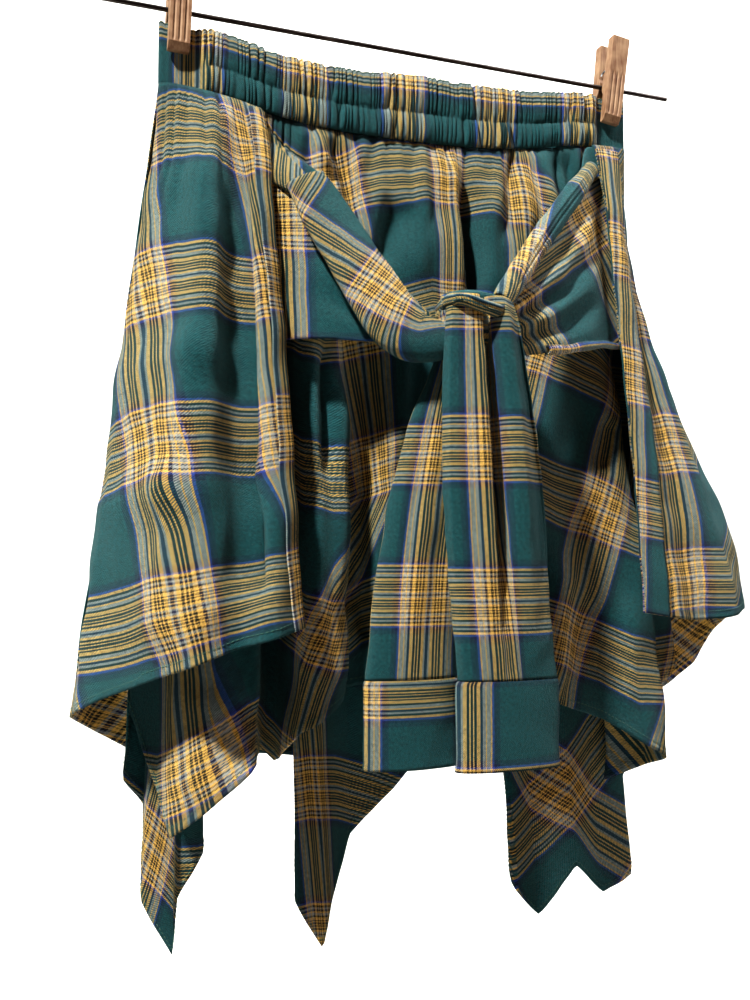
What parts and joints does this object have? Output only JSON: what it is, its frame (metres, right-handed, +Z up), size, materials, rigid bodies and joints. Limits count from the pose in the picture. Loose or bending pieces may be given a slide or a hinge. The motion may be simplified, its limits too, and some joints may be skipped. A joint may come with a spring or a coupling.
{
  "type": "handkerchief skirt hung from a rod by clothes pegs",
  "caption": "Checked flannel handkerchief skirt cut like a shirt tied round the waist, with an uneven pointed hem, hung by its elastic band from a thin rod with wooden pegs.",
  "frame": {"origin": "middle of the rod, on its axis", "axes": "+X along the rod to the viewer's right when the garment's front is faced, -Y out of the front, +Z up"},
  "size_m": [0.5142, 0.1668, 0.6476],
  "materials": {
    "cloth_green": "brushed cotton flannel, dark green ground of the check",
    "cloth_khaki": "brushed cotton flannel, khaki stripe of the check",
    "cloth_blue": "brushed cotton flannel, blue stripe of the check",
    "peg_wood": "plain sanded wood",
    "dark_steel": "dark drawn steel"
  },
  "bodies": {
    "root": {"waistband": "cloth_khaki", "skirt_front": "cloth_green", "skirt_back": "cloth_blue", "overlay_left": "cloth_khaki", "overlay_right": "cloth_khaki", "overlay_back": "cloth_khaki", "placket_left": "cloth_blue", "placket_right": "cloth_blue", "sleeve_left": "cloth_green", "sleeve_right": "cloth_green", "knot": "cloth_green", "tail_left": "cloth_khaki", "tail_right": "cloth_khaki", "cuff_left": "cloth_green", "cuff_right": "cloth_green", "peg_left_front": "peg_wood", "peg_left_back": "peg_wood", "peg_left_spring": "dark_steel", "peg_right_front": "peg_wood", "peg_right_back": "peg_wood", "peg_right_spring": "dark_steel", "rod": "dark_steel"}
  },
  "joints": []
}
